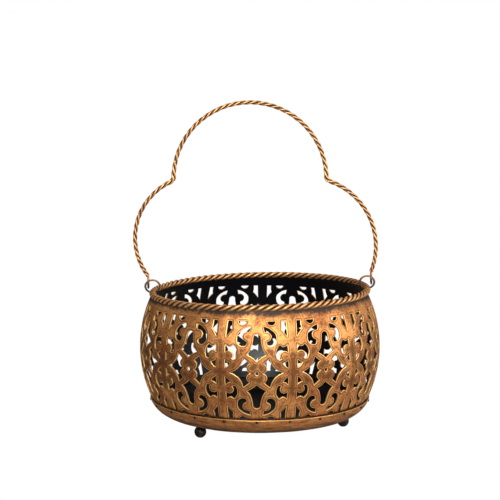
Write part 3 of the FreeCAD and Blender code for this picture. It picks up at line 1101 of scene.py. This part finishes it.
@dataclass
class RivetedPan:
    """The shallow pan under the bowl, its rolled lip, its rivets and its three ball feet."""

    underside: float = 8.4
    thickness: float = 0.9
    corner_radius: float = 20.0
    corner_centre: float = 64.1
    lip_height: float = 21.5
    lip_bead: float = 0.52
    wave: float = 0.22
    wave_length: float = 24.0
    rivet_height: float = 20.1
    rivet_count: int = 22
    rivet_head: float = 1.15
    rivet_rise: float = 0.6
    rivet_shank: float = 0.7
    rivet_outer_gap: float = 0.12
    rivet_inner_gap: float = 0.45
    foot_radius: float = 4.4
    foot_neck: float = 62.0
    foot_circle: float = 63.9
    first_foot: float = -42.5

    def section(self) -> list[Point]:
        """The pan's section: underside, corner, rolled lip, inner corner and floor.

        Returns:
            (radius, height) from the bottom of the axis round to its top.
        """
        centre = (self.corner_centre, self.underside + self.corner_radius)
        lip_rise = self.lip_height - self.lip_bead - centre[1]
        inner = self.corner_radius - self.thickness
        outer_end = math.degrees(math.asin(lip_rise / self.corner_radius))
        inner_end = math.degrees(math.asin(lip_rise / inner))
        floor = [(r, self.underside) for r in (0.0, 12.0, 26.0, 40.0, 52.0, 60.0)]
        outside = arc_points(centre, self.corner_radius, -90.0, outer_end, 22)
        inside = arc_points(centre, inner, inner_end, -90.0, 18)
        middle = ((outside[-1][0] + inside[0][0]) / 2, self.lip_height - self.lip_bead)
        bead = arc_points(middle, self.lip_bead, -28.0, 208.0, 10)
        above = self.underside + self.thickness
        top = [(r, above) for r in (60.0, 52.0, 40.0, 26.0, 12.0, 0.0)]
        return floor + outside + bead + inside + top

    def build_pan(self) -> bpy.types.Object:
        """Turn the pan, let its sheet wave a little, and store its lip and inside numbers.

        Returns:
            The pan.
        """
        pan = Bench.turned("riveted_pan", self.section(), 264)
        corners = Bench.corners(pan)
        radius = np.hypot(corners[:, 0], corners[:, 1])
        centre = np.array([self.corner_centre, self.underside + self.corner_radius])
        section = np.column_stack([radius, corners[:, 2]]) - centre
        in_corner = np.hypot(section[:, 0], section[:, 1]) < self.corner_radius - self.thickness / 2
        flat = (radius < self.corner_centre) & (corners[:, 2] > self.underside + self.thickness / 2)
        near_lip = self.lip_height - corners[:, 2] < 2.2 * self.lip_bead
        inside = np.where(flat | (in_corner & (radius > self.corner_centre) & ~near_lip), 1.0, 0.0)
        Bench.store(pan, "lip", np.abs(self.lip_height - corners[:, 2]))
        Bench.store(pan, "inside", inside)
        shift = np.array([noise.noise(Vector(p) / self.wave_length) for p in corners]) * self.wave
        fade = np.clip((radius - 40.0) / 30.0, 0.0, 1.0)
        corners[:, 2] += shift * fade
        Bench.move(pan, corners)
        Bench.smooth(pan, 40.0)
        return pan

    def build_rivets(self, bowl: PiercedBowl) -> bpy.types.Object:
        """Turn one rivet and set it round the lip, two to a panel.

        Args:
            bowl: the wall that the rivets hold.

        Returns:
            All the rivets as one piece.
        """
        centre = self.underside + self.corner_radius
        lip = self.corner_centre + math.sqrt(self.corner_radius ** 2 - (centre - self.rivet_height) ** 2)
        wall = math.sqrt((bowl.ball_radius - bowl.sheet) ** 2 - (bowl.ball_height - self.rivet_height) ** 2)
        outside, inside = lip + self.rivet_outer_gap, wall - self.rivet_inner_gap
        head, rise, shank = self.rivet_head, self.rivet_rise, self.rivet_shank
        section = [
            (0.0, inside - rise), (head * 0.55, inside - rise * 0.8), (head * 0.95, inside - rise * 0.3),
            (head, inside), (shank, inside), (shank, outside), (head, outside),
            (head * 0.95, outside + rise * 0.3), (head * 0.6, outside + rise * 0.8), (0.0, outside + rise),
        ]
        rivet = Bench.turned("rivet", section, 14)
        rivet.data.transform(Matrix.Rotation(math.pi / 2, 4, "X"))
        copies = []
        for index in range(self.rivet_count):
            turn = math.radians(bowl.first_turn) + math.tau * index / self.rivet_count
            copy = rivet.copy()
            copy.data = rivet.data.copy()
            bpy.context.scene.collection.objects.link(copy)
            lift = Matrix.Translation((0.0, 0.0, self.rivet_height * MM))
            copy.data.transform(lift @ Matrix.Rotation(turn, 4, "Z"))
            copies.append(copy)
        bpy.data.objects.remove(rivet)
        joined = Bench.join("lip_rivet_heads", copies)
        Bench.smooth(joined, 50.0)
        return joined

    def build_foot(self, name: str, turn: float) -> bpy.types.Object:
        """Turn a ball foot with a brazed fillet under the pan.

        Args:
            name: the piece's name.
            turn: its turn about the bowl's axis, in degrees.

        Returns:
            The foot.
        """
        ball = arc_points((0.0, self.foot_radius), self.foot_radius, -90.0, self.foot_neck, 22)
        neck = self.foot_radius * math.cos(math.radians(self.foot_neck))
        fillet = [
            (neck - 0.15, self.underside - 0.25), (neck + 0.25, self.underside - 0.08),
            (neck + 1.1, self.underside + 0.02), (0.0, self.underside + 0.05),
        ]
        foot = Bench.turned(name, [(0.0, ball[0][1]), *ball[1:], *fillet], 40)
        angle = math.radians(turn)
        place = Vector((math.sin(angle), -math.cos(angle), 0.0)) * self.foot_circle * MM
        foot.data.transform(Matrix.Translation(place))
        Bench.smooth(foot, 50.0)
        return foot

    def dress(self, bowl: PiercedBowl, gold: bpy.types.Material, bronze: bpy.types.Material) -> None:
        """Build the pan, rivets and feet and hand them in.

        Args:
            bowl: the wall that the rivets hold.
            gold: the pan's finish.
            bronze: the finish of the rivets and feet.
        """
        hand_in(self.build_pan(), Body.BOWL, ["base_pan"], gold)
        hand_in(self.build_rivets(bowl), Body.BOWL, ["lip_rivets"], bronze)
        for index, name in enumerate(("left_foot", "right_foot", "back_foot")):
            foot = self.build_foot(name + "_ball", self.first_foot + 120.0 * index)
            hand_in(foot, Body.BOWL, [name], bronze)


# ---------------------------------------------------------------- twisted wire


@dataclass
class Twist:
    """Three strands laid round a centre line."""

    radius: float
    strand: float
    strands: int = 3
    root_share: float = 0.45
    batch: int = 4000

    @property
    def lay(self) -> float:
        """How far a strand's centre is from the rope's."""
        return self.radius - self.strand

    def crest(self, corners: np.ndarray, centres: np.ndarray) -> np.ndarray:
        """How far out of the grooves each vertex is.

        Args:
            corners: the strand's vertices.
            centres: points close together along the rope's centre line.

        Returns:
            0 in the grooves to 1 at the rope's outside.
        """
        nearest = np.full(len(corners), np.inf)
        for start in range(0, len(corners), self.batch):
            part = corners[start:start + self.batch]
            gap = np.linalg.norm(part[:, None] - centres[None], axis=2).min(axis=1)
            nearest[start:start + self.batch] = gap
        inner = self.radius * self.root_share
        return np.clip((nearest - inner) / (self.radius - inner), 0.0, 1.2)


@dataclass
class RopeRim:
    """The rope of three wires round the top of the bowl, with one wire's ends overlapping at the front."""

    twist: Twist
    turns: int = 28
    samples: int = 22
    splice_turn: float = -12.5
    overlap: float = 7.0
    end_rise: float = 1.0
    rise_from: float = 0.975
    tuck_until: float = 0.02
    tuck_share: float = 0.9

    def strand_points(self, index: int) -> np.ndarray:
        """The centre line of one wire.

        Args:
            index: which of the wires; the first is the one whose ends show.

        Returns:
            Its points, in millimetres in the part's frame.
        """
        extra = math.radians(self.overlap) if index == 0 else 0.0
        start = math.radians(self.splice_turn) - extra
        count = round(self.turns * self.samples * (1.0 + 2.0 * extra / math.tau))
        part = np.linspace(0.0, 1.0, count, endpoint=index == 0)
        azimuth = start + part * (math.tau + 2.0 * extra)
        phase = azimuth * self.turns + math.tau * index / self.twist.strands
        lay = np.full(count, self.twist.lay)
        if index == 0:
            lifted = np.clip((part - self.rise_from) / (1.0 - self.rise_from), 0.0, 1.0)
            tucked = np.clip((self.tuck_until - part) / self.tuck_until, 0.0, 1.0)
            lay = lay + self.end_rise * lifted ** 2 - self.tuck_share * self.twist.lay * tucked
        outward = RIM.circle + lay * np.cos(phase)
        local = np.column_stack([
            outward * np.sin(azimuth), -outward * np.cos(azimuth), lay * np.sin(phase),
        ])
        return RIM.to_world(local)

    def dress(self, material: bpy.types.Material) -> None:
        """Build the wires and hand them in.

        Args:
            material: the finish.
        """
        circle = np.linspace(0.0, math.tau, 1400, endpoint=False)
        ring = np.column_stack([np.sin(circle), -np.cos(circle), np.zeros(len(circle))]) * RIM.circle
        centres = RIM.to_world(ring)
        for index in range(self.twist.strands):
            name = f"rim_strand_{index + 1}"
            strand = Bench.wire(name, self.strand_points(index), self.twist.strand, index > 0)
            Bench.store(strand, "crest", self.twist.crest(Bench.corners(strand), centres))
            Bench.smooth(strand, 60.0)
            hand_in(strand, Body.BOWL, ["rim_rope"], material)


@dataclass
class WireEar:
    """A wire ring, a little flatter than round, that stands with its foot in the rope."""

    wire: float = 0.8
    flatness: float = 0.86

    def build(self, name: str, side: Side) -> bpy.types.Object:
        """Model a ring and press it flatter, down to its foot.

        Args:
            name: the piece's name.
            side: which end of the handle it holds.

        Returns:
            The ring.
        """
        Bench.clear()
        bpy.ops.mesh.primitive_torus_add(
            major_segments=72, minor_segments=16, major_radius=RIM.ear_radius * MM,
            minor_radius=self.wire * MM, rotation=(math.pi / 2, 0.0, 0.0))
        ear = bpy.context.object
        ear.name = ear.data.name = name
        bpy.ops.object.transform_apply(location=True, rotation=True, scale=True)
        foot = Vector((0.0, 0.0, -RIM.ear_radius * MM))
        bpy.ops.object.mode_set(mode="EDIT")
        bpy.ops.mesh.select_all(action="SELECT")
        bpy.ops.transform.resize(value=(1.0, self.flatness, self.flatness), center_override=foot)
        bpy.ops.object.mode_set(mode="OBJECT")
        seat = np.array([side.value * RIM.circle, 0.0, RIM.ear_radius])
        Bench.move(ear, RIM.to_world(Bench.corners(ear) + seat))
        top = Bench.corners(ear)[:, 2]
        # Here the crest number follows height, so the ring is near black at its foot and takes the bright
        # crest colour at its top.
        Bench.store(ear, "crest", 0.25 + 0.75 * (top - top.min()) / (top.max() - top.min()))
        Bench.smooth(ear, 60.0)
        return ear


@dataclass
class Handle:
    """Three wires twisted along three arcs, with a long eye at each end."""

    twist: Twist
    pitch: float = 17.0
    left_bulge: Point = (-93.2, 138.0)
    left_kink: Point = (-64.2, 183.6)
    top: Point = (-9.9, 241.4)
    right_kink: Point = (49.4, 184.0)
    right_bulge: Point = (86.2, 141.0)
    kink_radius: float = 4.0
    eye_wire: float = 0.7
    eye_half: float = 2.6
    eye_length: float = 3.7
    eye_neck: float = 0.2
    spacing: float = 0.55
    ease: float = 12.0
    kink_slack: float = 0.28
    kink_reach: float = 7.0

    @staticmethod
    def circle_through(first: np.ndarray, second: np.ndarray, third: np.ndarray) -> tuple[np.ndarray, float]:
        """The centre and radius of the circle through three points.

        Args:
            first: a point.
            second: another.
            third: a third, not in line with them.

        Returns:
            The centre and the radius.
        """
        rows = np.array([second - first, third - first]) * 2.0
        right = np.array([second @ second - first @ first, third @ third - first @ first])
        centre = np.linalg.solve(rows, right)
        return centre, float(np.linalg.norm(first - centre))

    @staticmethod
    def crossing(first: tuple[np.ndarray, float], second: tuple[np.ndarray, float],
                 near: np.ndarray) -> np.ndarray:
        """The crossing of two circles that lies nearer to a point.

        Args:
            first: centre and radius of a circle.
            second: the same of another.
            near: the point.

        Returns:
            The crossing.
        """
        (centre, radius), (other, reach) = first, second
        span = other - centre
        length = float(np.linalg.norm(span))
        along = (length ** 2 + radius ** 2 - reach ** 2) / (2.0 * length)
        aside = math.sqrt(radius ** 2 - along ** 2)
        base = centre + span * along / length
        normal = np.array([-span[1], span[0]]) * aside / length
        return min((base + normal, base - normal), key=lambda place: float(np.linalg.norm(place - near)))

    def arc(self, centre: np.ndarray, start: np.ndarray, end: np.ndarray, through: np.ndarray) -> np.ndarray:
        """Points along an arc about a centre, by way of a third point.

        Args:
            centre: the arc's centre.
            start: its first point.
            end: its last point.
            through: a point that it passes.

        Returns:
            Evenly spaced points.
        """
        angles = [math.atan2(*(point - centre)[::-1]) for point in (start, through, end)]
        turn = (angles[2] - angles[0]) % math.tau
        if (angles[1] - angles[0]) % math.tau > turn:
            turn -= math.tau
        radius = float(np.linalg.norm(start - centre))
        count = max(6, round(abs(turn) * radius / self.spacing))
        sweep = angles[0] + np.linspace(0.0, turn, count)
        return centre + radius * np.column_stack([np.cos(sweep), np.sin(sweep)])

    def route(self) -> np.ndarray:
        """The wire's centre line: three arcs that meet in two kinks, between the eyes.

        Returns:
            Points close together, in millimetres.
        """
        stub = np.array([0.0, 0.0, self.eye_half + self.eye_neck])
        ends = [RIM.to_world(RIM.pivot(side) + stub)[0][[0, 2]] for side in Side]
        places = (self.left_bulge, self.left_kink, self.top, self.right_kink, self.right_bulge)
        marks = [np.array(place) for place in places]
        left = self.circle_through(ends[0], marks[0], marks[1])
        upper = self.circle_through(marks[1], marks[2], marks[3])
        right = self.circle_through(marks[3], marks[4], ends[1])
        bends = []
        for first, second, near in ((left, upper, marks[1]), (upper, right, marks[3])):
            grown = [(centre, radius + self.kink_radius) for centre, radius in (first, second)]
            middle = self.crossing(*grown, near)
            touch = [c + (middle - c) / np.linalg.norm(middle - c) * r for c, r in (first, second)]
            inward = (touch[0] + touch[1]) / 2 - middle
            way = middle + inward / np.linalg.norm(inward) * self.kink_radius
            bends.append((touch[0], middle, way, touch[1]))
        (a_in, a_mid, a_way, a_out), (b_in, b_mid, b_way, b_out) = bends
        flat = np.concatenate([
            self.arc(left[0], ends[0], a_in, marks[0])[:-1],
            self.arc(a_mid, a_in, a_out, a_way)[:-1],
            self.arc(upper[0], a_out, b_in, marks[2])[:-1],
            self.arc(b_mid, b_in, b_out, b_way)[:-1],
            self.arc(right[0], b_out, ends[1], marks[4]),
        ])
        return np.column_stack([flat[:, 0], np.zeros(len(flat)), flat[:, 1]])

    def strand_points(self, route: np.ndarray, index: int) -> np.ndarray:
        """The centre line of one wire of the twist.

        Args:
            route: the twist's centre line.
            index: which of the wires.

        Returns:
            Its points. They loosen at the kinks and gather at the ends.
        """
        steps = np.linalg.norm(np.diff(route, axis=0), axis=1)
        run = np.concatenate([[0.0], np.cumsum(steps)])
        ahead = np.gradient(route, axis=0)
        ahead /= np.linalg.norm(ahead, axis=1)[:, None]
        side = np.array([0.0, 1.0, 0.0])
        aside = np.cross(ahead, side)
        from_end = np.minimum(run, run[-1] - run)
        slack = np.zeros(len(run))
        for mark in (self.left_kink, self.right_kink):
            gap = np.hypot(route[:, 0] - mark[0], route[:, 2] - mark[1])
            slack = np.maximum(slack, np.exp(-(gap / self.kink_reach) ** 2))
        lay = self.twist.lay * (0.9 + 0.1 * np.clip(from_end / self.ease, 0.0, 1.0)) + self.kink_slack * slack
        hold = self.ease * 0.5
        turned = run - hold * np.exp(-run / self.ease) + hold * np.exp((run - run[-1]) / self.ease)
        phase = math.tau * (turned / self.pitch + index / self.twist.strands)
        return route + aside * (lay * np.cos(phase))[:, None] + side * (lay * np.sin(phase))[:, None]

    def build_eye(self, name: str, side: Side) -> bpy.types.Object:
        """Bend the long eye that hangs round an ear.

        Args:
            name: the piece's name.
            side: which end of the handle.

        Returns:
            The eye.
        """
        upper = arc_points((0.0, 0.0), self.eye_half, 0.0, 180.0, 20)
        lower = arc_points((0.0, -self.eye_length), self.eye_half, 180.0, 360.0, 20)
        loop = np.array([(0.0, across, up) for across, up in upper + lower])
        points = RIM.to_world(loop + RIM.pivot(side))
        eye = Bench.wire(name, points, self.eye_wire, True)
        height = Bench.corners(eye)[:, 2]
        # Here the crest number follows height, so the eye is near black at its bottom and gold at its top.
        Bench.store(eye, "crest", 0.45 + 0.4 * (height - height.min()) / (height.max() - height.min()))
        Bench.smooth(eye, 60.0)
        return eye

    def dress(self, material: bpy.types.Material) -> None:
        """Build the wires and eyes and hand them in.

        Args:
            material: the finish.
        """
        route = self.route()
        for index in range(self.twist.strands):
            name = f"handle_strand_{index + 1}"
            strand = Bench.wire(name, self.strand_points(route, index), self.twist.strand, False)
            Bench.store(strand, "crest", self.twist.crest(Bench.corners(strand), route))
            Bench.smooth(strand, 60.0)
            hand_in(strand, Body.HANDLE, ["handle"], material)
        for side in Side:
            eye = self.build_eye(f"{side.name.lower()}_eye", side)
            hand_in(eye, Body.HANDLE, ["handle"], material)


# ---------------------------------------------------------------- studio


@dataclass(frozen=True)
class Lamp:
    """A square soft light: where it hangs, the length of its side, its watts and its tint."""

    name: str
    place: tuple[float, float, float]
    size: float
    power: float
    colour: Colour = (1.0, 1.0, 1.0)


@dataclass
class Studio:
    """A white surround with a pale floor that only bounces light, three soft lights and the camera."""

    camera_place: tuple[float, float, float] = (0.0, -1085.3, 271.0)
    camera_down: float = 7.32
    camera_left: float = 0.39
    lens: float = 105.35
    aim_height: float = 80.0
    floor_half: float = 1500.0
    fade_start: float = 0.35
    fade_end: float = 1.3
    white: float = 1.0
    dim: float = 0.14
    bright: float = 0.70
    behind: float = 0.4
    lamps: tuple[Lamp, ...] = (
        Lamp("key", (-20.0, -990.0, 540.0), 420.0, 11.5, (1.0, 1.02, 0.97)),
        Lamp("right", (1150.0, -450.0, 420.0), 700.0, 7.5),
        Lamp("over", (150.0, 350.0, 1150.0), 900.0, 2.0),
    )

    def build_floor(self) -> None:
        """Lay a round floor that fades out. It bounces light and isn't seen itself."""
        Bench.clear()
        bpy.ops.mesh.primitive_circle_add(vertices=96, radius=self.floor_half * MM, fill_type="NGON")
        floor = bpy.context.object
        floor.name = floor.data.name = "studio_floor"
        bench = ShaderBench("studio_paper")
        reach = bench.node("ShaderNodeVectorMath", {"operation": "LENGTH"}, {0: bench.place}, "Value")
        solid = 1.0 - bench.step(reach, self.fade_start, self.fade_end)
        tooth = bench.cloud(700.0, 2.0)
        colour = bench.mix(tooth, (0.93, 0.93, 0.93), (0.95, 0.95, 0.95))
        floor.data.materials.append(bench.finish(Base_Color=colour, Roughness=0.9, Alpha=solid))
        floor.visible_glossy = False
        floor.visible_camera = False

    def hang(self, lamp: Lamp) -> None:
        """Hang a light so that it faces the bowl.

        Args:
            lamp: the light.
        """
        light = bpy.data.lights.new(lamp.name, "AREA")
        light.size = lamp.size * MM
        light.energy = lamp.power
        light.color = lamp.colour
        holder = bpy.data.objects.new(lamp.name, light)
        bpy.context.scene.collection.objects.link(holder)
        holder.location = Vector(lamp.place) * MM
        aim = Vector((0.0, 0.0, self.aim_height)) * MM - holder.location
        holder.rotation_euler = aim.to_track_quat("-Z", "Y").to_euler()

    def build_world(self) -> None:
        """A white background whose reflections are dim on the left and behind, and bright on the right."""
        world = bpy.data.worlds.new("studio")
        world.use_nodes = True
        bench = NodeBench(world.node_tree)
        direction = bench.node("ShaderNodeTexCoord", {}, {}, "Generated")

        def graded(axis: str, reach: Point, shades: Point) -> Signal:
            """A shade that changes evenly along one axis of the surround.

            Args:
                axis: X or Y.
                reach: where the change starts and ends.
                shades: the shade at each.

            Returns:
                The shade.
            """
            along = bench.node("ShaderNodeSeparateXYZ", {}, {0: direction}, axis)
            limits = {"From Min": reach[0], "From Max": reach[1], "To Min": shades[0], "To Max": shades[1]}
            return bench.node("ShaderNodeMapRange", {}, {"Value": along, **limits})

        sides = graded("X", (-0.9, 0.9), (self.dim, self.bright))
        mirrored = sides * graded("Y", (-0.5, 0.8), (1.0, self.behind))
        glossy = bench.node("ShaderNodeLightPath", {}, {}, "Is Glossy Ray")
        shades = {"Factor": glossy, "A": self.white, "B": mirrored}
        strength = bench.node("ShaderNodeMix", {}, shades, "Result")
        background = bench.tree.nodes["Background"]
        bench.feed(background.inputs["Color"], (1.0, 1.0, 1.0))
        bench.feed(background.inputs["Strength"], strength)
        bpy.context.scene.world = world
        bpy.context.scene.view_settings.view_transform = "Standard"

    def build_camera(self) -> None:
        """Set the camera up at the front, a little above the rim."""
        camera = bpy.data.cameras.new("camera")
        camera.lens = self.lens
        camera.sensor_width = 36.0
        holder = bpy.data.objects.new("camera", camera)
        bpy.context.scene.collection.objects.link(holder)
        holder.location = Vector(self.camera_place) * MM
        holder.rotation_euler = (math.radians(90.0 - self.camera_down), 0.0, math.radians(self.camera_left))
        bpy.context.scene.camera = holder

    def build(self) -> None:
        """Build the whole studio."""
        self.build_world()
        self.build_floor()
        for lamp in self.lamps:
            self.hang(lamp)
        self.build_camera()


def main() -> None:
    """Build the holder and its studio, in order."""
    logging.basicConfig(level=logging.INFO, format="%(message)s")
    bowl = PiercedBowl()
    bowl.dress(AgedSheet().build())
    RivetedPan().dress(bowl, StreakedPan().build(), DarkBronze().build())
    wire = AgedWire().build()
    RopeRim(Twist(radius=2.4, strand=1.1)).dress(wire)
    ear_wire = AgedWire(name="ear_wire", groove_end=0.5, crest_start=1.8, groove_black_share=0.94).build()
    for side, body in ((Side.LEFT, Body.LEFT_EAR), (Side.RIGHT, Body.RIGHT_EAR)):
        ear = WireEar().build(body.value + "_ring", side)
        hand_in(ear, body, [body.value], ear_wire)
    Handle(Twist(radius=1.62, strand=0.78)).dress(wire)
    Studio().build()


if __name__ == "__main__":
    main()
